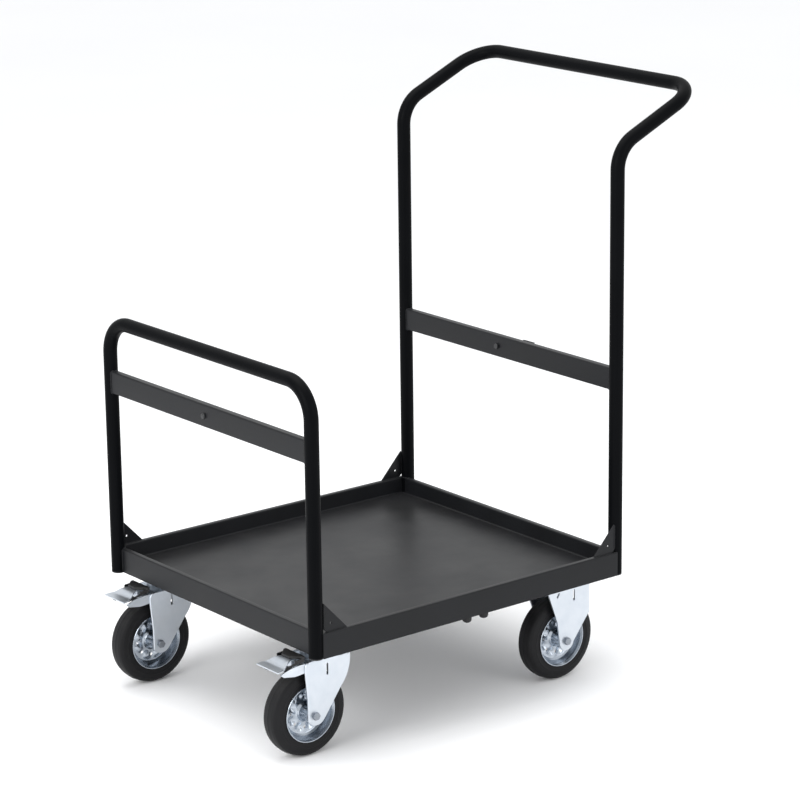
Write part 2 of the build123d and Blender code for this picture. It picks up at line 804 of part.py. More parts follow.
for side_name, side in SIDES.items():
    y = side * wheel_y
    x = front_axle_x
    finish(swivel_plate(swivel_x, y), "swivel_plate_" + side_name)
    finish(swivel_balls(swivel_x, y), "swivel_balls_" + side_name)
    finish(kingpin(swivel_x, y), "kingpin_" + side_name)
    finish(swivel_fork(x, y), "swivel_fork_" + side_name)
    finish(brake_housing(x, y), "brake_housing_" + side_name)
    finish(pedal_pin(x, y), "pedal_pin_" + side_name)
    finish(brake_pedal(x, y), "brake_pedal_" + side_name)
    finish(release_tab(x, y), "release_tab_" + side_name)
    finish(axle_bolts([(x, y)]), "swivel_axle_bolt_" + side_name)
    finish(axle_nuts([(x, y)]), "swivel_axle_nut_" + side_name)
    finish(axle_sleeve(x, y), "swivel_axle_sleeve_" + side_name)
    finish(roller_cage(x, y), "swivel_roller_cage_" + side_name)
    finish(wheel_rim(x, y), "swivel_rim_" + side_name)
    finish(tyre(x, y), "swivel_tyre_" + side_name)


# ---------------------------------------------------------------- rigid casters
def rigid_bracket(x, y):
    """Fixing plate and two tapering cheeks, pressed from one sheet."""
    rise = plate_bottom - axle_z
    with BuildPart() as bracket:
        with BuildSketch(upright(x, y)):
            with BuildLine():
                Polyline(
                    (-16, -6),
                    (-22.5, 40),
                    (-49, rise),
                    (56, rise),
                    (56, 46),
                    (41, 27),
                    (17, -4),
                )
                ThreePointArc((17, -4), (0, -18), (-16, -6))
            make_face()
            Circle(axle_bolt_diameter / 2 + bolt_play, mode=Mode.SUBTRACT)
            with Locations((18, rise - 25)):
                SlotOverall(22, 4, rotation=90, mode=Mode.SUBTRACT)
            with Locations((-21, rise - 18)):
                SlotOverall(11, 4, rotation=60, mode=Mode.SUBTRACT)
        extrude(amount=outer_cheek, both=True)
        with BuildSketch(upright(x, y)):
            with Locations((0, rise - 100)):
                Rectangle(400, 200)
        extrude(amount=inner_cheek, both=True, mode=Mode.SUBTRACT)
        add(fixing_plate(rigid_plate_x, y, rigid_plate_size, rigid_hole_spacing))
    return bracket.part


back_places = [(back_axle_x, side * wheel_y) for side in SIDES.values()]
for side_name, side in SIDES.items():
    y = side * wheel_y
    x = back_axle_x
    finish(rigid_bracket(x, y), "rigid_bracket_" + side_name)
    finish(axle_sleeve(x, y), "rigid_axle_sleeve_" + side_name)
    finish(roller_cage(x, y), "rigid_roller_cage_" + side_name)
    finish(wheel_rim(x, y), "rigid_rim_" + side_name)
    finish(tyre(x, y), "rigid_tyre_" + side_name)
finish(axle_bolts(back_places), "rigid_axle_bolts")
finish(axle_nuts(back_places), "rigid_axle_nuts")


# ---------------------------------------------------------------- hook and screws
bar_back = handle_x + bar_thickness / 2
hook_plane = Plane(origin=(bar_back, hook_y, handle_bar_z), x_dir=(1, 0, 0), z_dir=(0, -1, 0))
hook_screw_plane = Plane(origin=(bar_back, handle_screw_y, handle_bar_z), z_dir=(1, 0, 0))
with BuildPart() as handle_hook:
    with BuildSketch(hook_plane):
        with BuildLine():
            hook_back = Line((hook_sheet / 2, hook_rise - 4), (hook_sheet / 2, -6))
            hook_turn = JernArc(hook_back @ 1, hook_back % 1, 8, 90)
            hook_arm = Line(hook_turn @ 1, (hook_reach - 12, (hook_turn @ 1).Y))
            hook_lift = JernArc(hook_arm @ 1, hook_arm % 1, 9, 75)
            Line(hook_lift @ 1, hook_lift @ 1 + hook_lift_length * (hook_lift % 1))
        trace(line_width=hook_sheet)
    extrude(amount=hook_width / 2, both=True)
    with BuildSketch(Plane.XY.offset(handle_bar_z - 2 * hook_reach)):
        with Locations((bar_back + hook_sheet + hook_reach, hook_y + hook_arm_width)):
            Rectangle(2 * hook_reach, hook_width)
    extrude(amount=4 * hook_reach, mode=Mode.SUBTRACT)
    with BuildSketch(hook_screw_plane):
        Circle(screw_hole / 2)
    extrude(amount=hook_sheet, mode=Mode.SUBTRACT)
finish(handle_hook.part, "handle_hook")

handle_front = handle_x - bar_thickness / 2
screw_plane = Plane(origin=(handle_front, handle_screw_y, handle_bar_z), z_dir=(1, 0, 0))
with BuildPart() as handle_bar_screw:
    with BuildSketch(screw_plane):
        RegularPolygon(screw_hex / 2, 6, major_radius=False)
    extrude(amount=-screw_head)
    with BuildSketch(screw_plane):
        Circle(screw_diameter / 2)
    extrude(amount=bar_thickness + hook_sheet)
finish(handle_bar_screw.part, "handle_bar_screw")

low_screw_plane = Plane(origin=(hoop_x - bar_thickness / 2, 0, low_bar_z), z_dir=(1, 0, 0))
with BuildPart() as low_bar_screw:
    with BuildSketch(low_screw_plane):
        Circle(low_screw_head / 2)
    extrude(amount=-screw_head)
    fillet(low_bar_screw.faces().sort_by(Axis.X)[0].edges(), radius=screw_head * 0.7)
    with BuildSketch(low_screw_plane):
        Circle(screw_diameter / 2)
    extrude(amount=bar_thickness + screw_end)
finish(low_bar_screw.part, "low_bar_screw")
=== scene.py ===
"""Looks of the flatbed platform truck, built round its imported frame.

Shapes are written in millimetres and become metres as their points enter a mesh.
+X points to the push handle, +Y to the far side, +Z up.
"""
import json
import math

import bmesh
import bpy
import numpy as np
from mathutils import Matrix, Vector


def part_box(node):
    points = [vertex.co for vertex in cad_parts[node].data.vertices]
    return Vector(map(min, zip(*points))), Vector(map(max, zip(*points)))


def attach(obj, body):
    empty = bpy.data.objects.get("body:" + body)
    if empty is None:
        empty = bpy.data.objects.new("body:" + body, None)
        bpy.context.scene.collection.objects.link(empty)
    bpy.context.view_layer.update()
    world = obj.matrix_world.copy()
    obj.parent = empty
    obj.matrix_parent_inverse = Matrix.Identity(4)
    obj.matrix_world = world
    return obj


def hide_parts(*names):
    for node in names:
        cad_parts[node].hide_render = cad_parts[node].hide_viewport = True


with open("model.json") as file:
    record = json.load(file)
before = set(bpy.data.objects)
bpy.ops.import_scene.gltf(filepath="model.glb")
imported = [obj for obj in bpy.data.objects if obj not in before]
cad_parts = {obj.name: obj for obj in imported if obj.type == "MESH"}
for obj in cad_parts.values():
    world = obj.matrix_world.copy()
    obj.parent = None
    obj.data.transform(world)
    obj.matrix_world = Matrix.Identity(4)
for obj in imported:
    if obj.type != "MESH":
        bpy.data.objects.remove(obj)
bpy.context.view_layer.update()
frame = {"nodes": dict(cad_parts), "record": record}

MM = 0.001
ROUND = 2 * math.pi
NODES = frame["nodes"]
RECORD = frame["record"]
BODY_OF = {node: body for body, nodes in RECORD["behaviour"]["bodies"].items() for node in nodes}
SLOT_OF = {part["node"]: part["material_slot"] for part in RECORD["subparts"]}
SIDES = {"near": -1, "far": 1}
DUST = "#8c8a86"
LAMP_TARGET_HEIGHT = 0.3


# ---------------------------------------------------------------- finishes
def colour(code):
    """Linear red, green, blue and alpha from an sRGB hex code."""
    parts = np.array([int(code[k:k + 2], 16) for k in (1, 3, 5)]) / 255
    linear = np.where(parts <= 0.04045, parts / 12.92, ((parts + 0.055) / 1.055) ** 2.4)
    return (*linear.tolist(), 1.0)


def per_mm(size):
    """Pattern scale whose features are about this many millimetres across."""
    return 1000.0 / size


def add_node(tree, kind, inputs=None, **settings):
    """Adds a node with its settings; an input takes a constant or another node's output."""
    node = tree.nodes.new(kind)
    for key, value in settings.items():
        setattr(node, key, value)
    for key, value in (inputs or {}).items():
        if isinstance(value, bpy.types.NodeSocket):
            tree.links.new(value, node.inputs[key])
        else:
            node.inputs[key].default_value = value
    return node


def start_finish(name):
    """Empty node material and its object coordinates."""
    material = bpy.data.materials.new(name)
    material.use_nodes = True
    tree = material.node_tree
    tree.nodes.clear()
    place = add_node(tree, "ShaderNodeTexCoord").outputs["Object"]
    return material, tree, place


def end_finish(tree, shader):
    """Joins the shader to the material's output."""
    add_node(tree, "ShaderNodeOutputMaterial", {"Surface": shader.outputs["BSDF"]})


def spread(tree, source, low, high):
    """Maps the useful middle of a noise pattern onto a range."""
    ranged = add_node(
        tree,
        "ShaderNodeMapRange",
        {"Value": source, "From Min": 0.3, "From Max": 0.7, "To Min": low, "To Max": high},
    )
    return ranged.outputs["Result"]


def blend_colours(tree, share, first, second):
    """Mix of two colours by a pattern."""
    mix = add_node(tree, "ShaderNodeMix", {0: share, 6: first, 7: second}, data_type="RGBA")
    return mix.outputs[2]


def settled_dust(tree, place, most):
    """Share of fine dust: broken patches on faces that look up."""
    normal = add_node(tree, "ShaderNodeNewGeometry").outputs["Normal"]
    upward = add_node(tree, "ShaderNodeSeparateXYZ", {"Vector": normal}).outputs["Z"]
    level = add_node(
        tree,
        "ShaderNodeMapRange",
        {"Value": upward, "From Min": 0.5, "From Max": 1.0, "To Min": 0.0, "To Max": most},
    ).outputs["Result"]
    patches = add_node(
        tree, "ShaderNodeTexNoise", {"Vector": place, "Scale": per_mm(55), "Detail": 6.0}
    ).outputs["Fac"]
    patchy = spread(tree, patches, 0.35, 1.0)
    share = add_node(tree, "ShaderNodeMath", {0: level, 1: patchy}, operation="MULTIPLY")
    return share.outputs["Value"]


def powder_coat(name, deep, pale, dust_most, grain, gloss):
    """Black polyester powder coat on steel: satin, with the skin's orange peel.

    Real peel is about 1 mm across; it is drawn coarser so that it shows.
    """
    material, tree, place = start_finish(name)
    clouds = add_node(
        tree, "ShaderNodeTexNoise", {"Vector": place, "Scale": per_mm(120), "Detail": 4.0}
    ).outputs["Fac"]
    peel = add_node(
        tree, "ShaderNodeTexNoise", {"Vector": place, "Scale": per_mm(grain), "Detail": 2.0}
    ).outputs["Fac"]
    coat = blend_colours(tree, spread(tree, clouds, 0.0, 1.0), colour(deep), colour(pale))
    tint = blend_colours(tree, settled_dust(tree, place, dust_most), coat, colour(DUST))
    skin = add_node(tree, "ShaderNodeBump", {"Strength": 0.16, "Distance": 0.0004, "Height": peel})
    shader = add_node(
        tree,
        "ShaderNodeBsdfPrincipled",
        {
            "Base Color": tint,
            "Roughness": spread(tree, clouds, 0.34, 0.44),
            "IOR": 1.5,
            "Specular IOR Level": gloss,
            "Normal": skin.outputs["Normal"],
        },
    )
    end_finish(tree, shader)
    return material


def zinc_plate(name, fresh, cloudy, rough):
    """Blue-passivated zinc plate on pressed steel: clear, cool and a little mottled.

    The plating bath leaves soft clouds about 20 mm wide and rolling marks near 1.5 mm.
    """
    material, tree, place = start_finish(name)
    clouds = add_node(
        tree, "ShaderNodeTexNoise", {"Vector": place, "Scale": per_mm(22), "Detail": 5.0}
    ).outputs["Fac"]
    marks = add_node(
        tree, "ShaderNodeTexNoise", {"Vector": place, "Scale": per_mm(1.6), "Detail": 3.0}
    ).outputs["Fac"]
    plate = blend_colours(tree, spread(tree, clouds, 0.2, 0.8), colour(fresh), colour(cloudy))
    skin = add_node(tree, "ShaderNodeBump", {"Strength": 0.1, "Distance": 0.0002, "Height": marks})
    shader = add_node(
        tree,
        "ShaderNodeBsdfPrincipled",
        {
            "Base Color": plate,
            "Metallic": 1.0,
            "Roughness": spread(tree, clouds, rough, rough + 0.06),
            "Normal": skin.outputs["Normal"],
        },
    )
    end_finish(tree, shader)
    return material


def dark_moulding(name, deep, pale, rough, grain, gloss=0.4):
    """Moulded black rubber or plastic: matt, fine grained, greyed a little by handling."""
    material, tree, place = start_finish(name)
    clouds = add_node(
        tree, "ShaderNodeTexNoise", {"Vector": place, "Scale": per_mm(30), "Detail": 6.0}
    ).outputs["Fac"]
    grains = add_node(
        tree, "ShaderNodeTexNoise", {"Vector": place, "Scale": per_mm(grain), "Detail": 2.0}
    ).outputs["Fac"]
    body = blend_colours(tree, spread(tree, clouds, 0.0, 1.0), colour(deep), colour(pale))
    tint = blend_colours(tree, settled_dust(tree, place, 0.1), body, colour(DUST))
    skin = add_node(
        tree, "ShaderNodeBump", {"Strength": 0.25, "Distance": 0.0003, "Height": grains}
    )
    shader = add_node(
        tree,
        "ShaderNodeBsdfPrincipled",
        {
            "Base Color": tint,
            "Roughness": spread(tree, clouds, rough, rough + 0.12),
            "IOR": 1.5,
            "Specular IOR Level": gloss,
            "Normal": skin.outputs["Normal"],
        },
    )
    end_finish(tree, shader)
    return material


def polished_steel():
    """Hardened bearing steel: mirror bright, with a trace of grease clouding it."""
    material, tree, place = start_finish("polished_bearing_steel")
    film = add_node(
        tree, "ShaderNodeTexNoise", {"Vector": place, "Scale": per_mm(5), "Detail": 3.0}
    ).outputs["Fac"]
    shader = add_node(
        tree,
        "ShaderNodeBsdfPrincipled",
        {
            "Base Color": blend_colours(tree, film, colour("#c9cbd0"), colour("#a9abb0")),
            "Metallic": 1.0,
            "Roughness": spread(tree, film, 0.12, 0.3),
        },
    )
    end_finish(tree, shader)
    return material


def studio_floor():
    """Pale matt floor."""
    material, tree, place = start_finish("pale_floor")
    clouds = add_node(
        tree, "ShaderNodeTexNoise", {"Vector": place, "Scale": per_mm(900), "Detail": 2.0}
    ).outputs["Fac"]
    pale = blend_colours(tree, clouds, colour("#fdfdfd"), colour("#f9f9fa"))
    shader = add_node(tree, "ShaderNodeBsdfPrincipled", {"Base Color": pale, "Roughness": 0.8})
    end_finish(tree, shader)
    return material


FINISHES = {
    "black_powder_coat": powder_coat("black_powder_coat", "#131416", "#18191c", 0.04, 3.5, 0.2),
    "bright_zinc": zinc_plate("bright_zinc_plate", "#cfd4da", "#c3cad2", 0.3),
    "black_rubber_tyre": dark_moulding("black_tyre_rubber", "#0f0f11", "#161618", 0.5, 2.5, 0.2),
    "black_plastic": dark_moulding("black_moulded_plastic", "#121214", "#18181a", 0.34, 1.8),
    "buffer_rubber": dark_moulding("buffer_rubber", "#161617", "#1e1e1f", 0.55, 2.0),
    "black_screw": powder_coat("black_coated_screw", "#17181a", "#222326", 0.05, 2.0, 0.5),
    "ball_steel": polished_steel(),
    "cage_plastic": dark_moulding("roller_cage_nylon", "#39393b", "#4a4a4c", 0.4, 1.5),
}
# The tubes wear the same black powder coat as the tray; this copy is made darker and almost
# glossless as painted shade, standing in for the dark surroundings the tubes reflect.
SHADE_DARKENED_TUBE_COAT = powder_coat("black_coat_painted_shade_tubes", "#08090b", "#0b0c0e", 0.02, 3.5, 0.03)
WHEEL_ZINC = zinc_plate("pressed_wheel_zinc", "#bdc4cc", "#a3abb5", 0.2)
# Darker copy of the zinc for the axle bolts and nuts: painted shade, standing in for the shadow
# ring round the axle bolt heads.
AXLE_PAINTED_SHADE_STEEL = zinc_plate("axle_steel_painted_shade", "#9ba0a7", "#7f848b", 0.2)
for node, cad_piece in NODES.items():
    for holder in cad_piece.material_slots:
        holder.material = FINISHES[SLOT_OF[node]]


# ---------------------------------------------------------------- shapes
def box_mm(node):
    """A node's lowest and highest corners in millimetres."""
    low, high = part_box(node)
    return np.array(low) / MM, np.array(high) / MM


def grid_faces(rows, columns, rows_closed, columns_closed):
    """Quads between neighbouring grid points, wrapping where a direction is closed."""
    i, j = np.meshgrid(
        np.arange(rows if rows_closed else rows - 1),
        np.arange(columns if columns_closed else columns - 1),
        indexing="ij",
    )
    next_i = (i + 1) % rows
    next_j = (j + 1) % columns
    corners = [i * columns + j, i * columns + next_j, next_i * columns + next_j]
    corners.append(next_i * columns + j)
    return np.stack(corners, axis=-1).reshape(-1, 4)


def as_shell(grid, rows_closed, columns_closed=True):
    """Points and faces of a grid; ends that stay open are closed with flat caps."""
    rows, columns = grid.shape[:2]
    faces = grid_faces(rows, columns, rows_closed, columns_closed).tolist()
    if not rows_closed:
        faces.append(list(range(columns)))
        faces.append(list(range((rows - 1) * columns, rows * columns)))
    return grid.reshape(-1, 3), faces


def lasting_mesh(name, shells):
    """One mesh from several closed shells, doubles merged and faces turned outwards."""
    mesh = bpy.data.meshes.new(name)
    starts = np.cumsum([0] + [len(points) for points, _ in shells])
    points = np.concatenate([points for points, _ in shells]) * MM
    faces = [
        [start + corner for corner in face]
        for start, (_, shell_faces) in zip(starts.tolist(), shells)
        for face in shell_faces
    ]
    mesh.from_pydata(points.tolist(), [], faces)
    work = bmesh.new()
    work.from_mesh(mesh)
    bmesh.ops.remove_doubles(work, verts=work.verts, dist=1e-6)
    bmesh.ops.recalc_face_normals(work, faces=work.faces)
    work.to_mesh(mesh)
    work.free()
    return mesh


def place_piece(name, mesh, nodes, body=None, crease=35.0):
    """Puts a mesh on stage as a piece that stands for CAD nodes or rides beside them."""
    mesh.shade_smooth()
    mesh.set_sharp_from_angle(angle=math.radians(crease))
    piece = bpy.data.objects.new(name, mesh)
    bpy.context.scene.collection.objects.link(piece)
    slot = SLOT_OF[nodes[0]]
    mesh.materials.clear()
    mesh.materials.append(FINISHES[slot])
    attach(piece, body or BODY_OF[nodes[0]])
    return piece


def made_for(node, name, shells, crease=35.0):
    """A new piece that takes a CAD node's place."""
    piece = place_piece(name, lasting_mesh(name, shells), [node], crease=crease)
    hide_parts(node)
    return piece


def eased(node, width, segments=2):
    """Merged copy of a CAD node with its sharp edges rounded by a small bevel in millimetres."""
    mesh = NODES[node].data.copy()
    work = bmesh.new()
    work.from_mesh(mesh)
    bmesh.ops.remove_doubles(work, verts=work.verts, dist=1e-6)
    bmesh.ops.dissolve_limit(
        work, angle_limit=math.radians(0.5), verts=work.verts, edges=work.edges
    )
    work.to_mesh(mesh)
    work.free()
    if "custom_normal" in mesh.attributes:
        mesh.attributes.remove(mesh.attributes["custom_normal"])
    piece = place_piece(node + "_eased", mesh, [node])
    ease = piece.modifiers.new("eased_edges", "BEVEL")
    ease.width = width * MM
    ease.segments = segments
    ease.limit_method = "ANGLE"
    ease.angle_limit = math.radians(35)
    ease.harden_normals = True
    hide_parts(node)
    return piece


def rounded_route(corners, radii, step=4.0):
    """Straight runs joined by tangent arcs.

    An arc of radius r turning by T starts r tan(T/2) before its corner and follows
    start + r sin(t) along the run + r (1 - cos(t)) towards the next run.
    """
    corners = np.array(corners, float)
    parts = [corners[:1]]
    for before, corner, after, radius in zip(corners, corners[1:], corners[2:], radii):
        run = (corner - before) / np.linalg.norm(corner - before)
        leave = (after - corner) / np.linalg.norm(after - corner)
        turn = math.acos(np.clip(run @ leave, -1, 1))
        across = leave - (leave @ run) * run
        across /= np.linalg.norm(across)
        start = corner - radius * math.tan(turn / 2) * run
        t = np.linspace(0, turn, max(5, int(radius * turn / step) + 1))[:, None]
        parts.append(start + radius * np.sin(t) * run + radius * (1 - np.cos(t)) * across)
    parts.append(corners[-1:])
    return np.concatenate(parts)


def rings_along(route, radius, aside, sides):
    """Circles square to a route: centre + r (cos a, sin a) on axes made from one aside vector."""
    along = np.gradient(route, axis=0)
    along /= np.linalg.norm(along, axis=1, keepdims=True)
    aside = np.broadcast_to(np.array(aside, float), route.shape)
    first = aside - np.sum(aside * along, axis=1, keepdims=True) * along
    first /= np.linalg.norm(first, axis=1, keepdims=True)
    second = np.cross(along, first)
    angle = np.linspace(0, ROUND, sides, endpoint=False)[None, :, None]
    reach = np.broadcast_to(np.asarray(radius, float), len(route))[:, None, None]
    return (
        route[:, None]
        + reach * np.cos(angle) * first[:, None]
        + reach * np.sin(angle) * second[:, None]
    )


def hollow_tube(route, radius, wall, aside):
    """Tube with an open bore: its outer rings forwards, then its inner rings back."""
    outer = rings_along(route, radius, aside, 48)
    inner = rings_along(route, radius - wall, aside, 48)
    return as_shell(np.concatenate([outer, inner[::-1]]), rows_closed=True)


def weld_bead(route, radius, aside, closed=False):
    """Weld bead: a thin tube whose radius swells every 2.4 mm as r (1 + 0.16 sin)."""
    length = np.concatenate([[0], np.cumsum(np.linalg.norm(np.diff(route, axis=0), axis=1))])
    swell = radius * (1 + 0.16 * np.sin(ROUND * length / 2.4))
    if not closed:
        swell = swell * np.clip(np.minimum(length, length[-1] - length) / 2.0 + 0.4, 0, 1)
    return as_shell(rings_along(route, swell, aside, 8), rows_closed=closed)


def even_route(corners, step=0.6):
    """Points every step millimetres along straight runs."""
    corners = np.array(corners, float)
    length = np.concatenate([[0], np.cumsum(np.linalg.norm(np.diff(corners, axis=0), axis=1))])
    places = np.linspace(0, length[-1], max(3, int(length[-1] / step)))
    return np.stack([np.interp(places, length, corners[:, k]) for k in range(3)], axis=1)


def carried(profile, stations):
    """Closed profile in the plane of two axes, carried along the third between stations."""
    return np.stack([profile + station for station in stations])


def turned(radii, offsets, centre, segments=144):
    """Profile turned about a wheel's axle: x and z are r cos a and r sin a, y is the offset.

    offsets may vary with the angle a as well as along the profile.
    """
    angle = np.linspace(0, ROUND, segments, endpoint=False)[None, :]
    reach = radii[:, None] * np.ones_like(angle)
    across = offsets if offsets.ndim == 2 else offsets[:, None] * np.ones_like(angle)
    grid = np.stack([reach * np.cos(angle), across, reach * np.sin(angle)], axis=-1)
    return as_shell(grid + np.array(centre), rows_closed=True)


# ---------------------------------------------------------------- tray
tray_low, tray_high = box_mm("deck_tray")
front_x, back_x = tray_low[0], tray_high[0]
side_y, rim_top, skirt_low = tray_high[1], tray_high[2], tray_low[2]
rim_width = 11.0
deck_depth = 31.0
sheet = 1.5
bend = 2.5
floor_top = rim_top - deck_depth


def tray_edge():
    """Folded edge of the tray in (inwards, up): skirt, rim, wall and foot, with its underside."""
    skirt = skirt_low - rim_top
    foot = rim_width + bend
    face = rounded_route(
        [(0, skirt), (0, 0), (rim_width, 0), (rim_width, -deck_depth), (foot, -deck_depth)],
        [bend, bend, bend - 0.01],
        step=0.5,
    )
    under = rounded_route(
        [
            (sheet, skirt),
            (sheet, -sheet),
            (rim_width - sheet, -sheet),
            (rim_width - sheet, -deck_depth - sheet),
            (foot, -deck_depth - sheet),
        ],
        [bend - sheet, bend - sheet, bend + sheet - 0.01],
        step=0.5,
    )
    return np.concatenate([face, under[::-1]])


tube_low, tube_high = box_mm("low_hoop")
tube_radius = (tube_high[0] - tube_low[0]) / 2
tube_y = tube_high[1] - tube_radius
hoop_x = (tube_low[0] + tube_high[0]) / 2
handle_low, handle_high = box_mm("push_handle")
handle_x = handle_low[0] + tube_radius
edge = tray_edge()
flat = np.zeros(len(edge))
strips = []
side_start = hoop_x + 6
side_end = handle_x - (side_start - hoop_x)
end_reach = tube_y + 0.2
for side in SIDES.values():
    strip = np.stack([flat, side * (side_y - edge[:, 0]), rim_top + edge[:, 1]], axis=1)
    ends = np.array([[side_start, 0, 0], [side_end, 0, 0]])
    strips.append(as_shell(carried(strip, ends), rows_closed=False))
for face_x, inwards in ((front_x, 1), (back_x, -1)):
    strip = np.stack([face_x + inwards * edge[:, 0], flat, rim_top + edge[:, 1]], axis=1)
    ends = np.array([[0, -end_reach, 0], [0, end_reach, 0]])
    strips.append(as_shell(carried(strip, ends), rows_closed=False))
inset = rim_width + bend
floor_outline = np.array(
    [
        [front_x + inset, -side_y + inset, 0],
        [back_x - inset, -side_y + inset, 0],
        [back_x - inset, side_y - inset, 0],
        [front_x + inset, side_y - inset, 0],
    ]
)
floor_levels = np.array([[0, 0, floor_top - sheet], [0, 0, floor_top]])
strips.append(as_shell(carried(floor_outline, floor_levels), rows_closed=False))
made_for("deck_tray", "folded_deck_tray", strips)

# ---------------------------------------------------------------- bent tubes
tube_bend = 62.0
tube_wall = 2.0
tube_foot = tube_low[2]
hoop_top = tube_high[2] - tube_radius
hoop_corners = [
    (hoop_x, -tube_y, tube_foot),
    (hoop_x, -tube_y, hoop_top),
    (hoop_x, tube_y, hoop_top),
    (hoop_x, tube_y, tube_foot),
]
hoop_route = rounded_route(hoop_corners, [tube_bend] * 2)
hoop_tube = hollow_tube(hoop_route, tube_radius, tube_wall, (1, 0, 0))
tubes = [made_for("low_hoop", "low_hoop_tube", [hoop_tube])]

grip_x = handle_high[0] - tube_radius
grip_z = handle_high[2] - tube_radius
crank_drop = 88.3
crank_z = grip_z - crank_drop
handle_corners = [
    (handle_x, -tube_y, tube_foot),
    (handle_x, -tube_y, crank_z),
    (grip_x, -tube_y, grip_z),
    (grip_x, tube_y, grip_z),
    (handle_x, tube_y, crank_z),
    (handle_x, tube_y, tube_foot),
]
handle_route = rounded_route(handle_corners, [tube_bend] * 4)
handle_tube = hollow_tube(handle_route, tube_radius, tube_wall, (0.84, 0, -0.54))
tubes.append(made_for("push_handle", "push_handle_tube", [handle_tube]))
# painted shade: the bent tubes take the darker, almost glossless copy of the black coat
for tube in tubes:
    tube.data.materials[0] = SHADE_DARKENED_TUBE_COAT

# ---------------------------------------------------------------- weld beads
beads = []


def bar_end_beads(bar):
    """Beads round both ends of a crossbar, on the tube's surface.

    Each point of the bar's rounded outline meets the tube where y = Y - sqrt(r^2 - dx^2).
    """
    low, high = box_mm(bar)
    x = (low[0] + high[0]) / 2
    outline = even_route(
        [
            (low[0] + 2, 0, low[2]),
            (high[0] - 2, 0, low[2]),
            (high[0], 0, low[2] + 2),
            (high[0], 0, high[2] - 2),
            (high[0] - 2, 0, high[2]),
            (low[0] + 2, 0, high[2]),
            (low[0], 0, high[2] - 2),
            (low[0], 0, low[2] + 2),
            (low[0] + 2, 0, low[2]),
        ]
    )[:-1]
    reach = tube_y - np.sqrt(tube_radius**2 - (outline[:, 0] - x) ** 2)
    for side in SIDES.values():
        loop = outline.copy()
        loop[:, 1] = side * reach
        beads.append(weld_bead(loop, 1.5, (0, 1, 0), closed=True))


bar_end_beads("low_hoop_bar")
bar_end_beads("push_handle_bar")
for side_name, side in SIDES.items():
    for gusset, towards in (("hoop_gusset_", 1), ("handle_gusset_", -1)):
        low, high = box_mm(gusset + side_name)
        inner, tip = (low[0], high[0]) if towards > 0 else (high[0], low[0])
        for face_y in (low[1], high[1]):
            foot = even_route(
                [(inner + towards * 6, face_y, low[2]), (tip - towards * 1, face_y, low[2])]
            )
            beads.append(weld_bead(foot, 1.2, (0, 1, 0)))
            rise = even_route([(inner, face_y, low[2] + 6), (inner, face_y, high[2] - 1)])
            beads.append(weld_bead(rise, 1.2, (1, 0, 0)))
for x, towards in ((hoop_x, 1), (handle_x, -1)):
    for side in SIDES.values():
        skirt_x = front_x if towards > 0 else back_x
        seam_y = side * (tube_y - math.sqrt(tube_radius**2 - 1.0))
        seam = even_route([(skirt_x, seam_y, skirt_low + 2), (skirt_x, seam_y, rim_top - 2)])
        beads.append(weld_bead(seam, 1.3, (1, 0, 0)))
        turn = np.linspace(-0.45, 1.2, 40)
        across = np.stack(
            [
                x + towards * (tube_radius + 0.2) * np.cos(turn),
                -side * (tube_radius + 0.2) * np.sin(turn) + side * tube_y,
                np.full(40, rim_top),
            ],
            axis=1,
        )
        beads.append(weld_bead(across, 1.2, (0, 0, 1)))
place_piece("weld_beads", lasting_mesh("weld_beads", beads), ["deck_tray"], crease=80)

# ---------------------------------------------------------------- wheels
TREAD = 80.0
RIM_EDGE = 53.0
HOLE_COUNT = 8
HOLE_PITCH_RADIUS = 29.5
HOLE_RADIUS = 3.2
LOBE_RISE = 4.5


def tyre_shells(centre):
    """Solid tyre: a crowned tread, round shoulders, a raised ring on each wall, a mould line."""
    half_profile = [
        (0.35, TREAD),
        (0.9, TREAD - 0.35),
        (9, TREAD - 0.9),
        (14.5, TREAD - 2.4),
        (18, TREAD - 7.5),
        (19.4, TREAD - 14),
        (19.4, TREAD - 15.5),
        (20, TREAD - 16.2),
        (20, TREAD - 18.2),
        (19.4, TREAD - 19),
        (19, TREAD - 25),
        (17.2, RIM_EDGE - 2.9),
    ]
    right = rounded_route(half_profile, [0.2, 6, 5, 5, 12, 0.4, 0.3, 0.3, 0.4, 4], step=0.5)
    left = right[::-1] * [-1, 1]
    profile = np.concatenate([right, left])
    return [turned(profile[:, 1], profile[:, 0], centre)]


def even_pairs(profile, longest=2.0):
    """Profile with its long runs divided, so that a pressed shape can bend them."""
    length = np.concatenate([[0], np.cumsum(np.linalg.norm(np.diff(profile, axis=0), axis=1))])
    extra = np.arange(0, length[-1], longest)
    places = np.unique(np.concatenate([length, extra]))
    return np.stack([np.interp(places, length, profile[:, k]) for k in range(2)], axis=1)


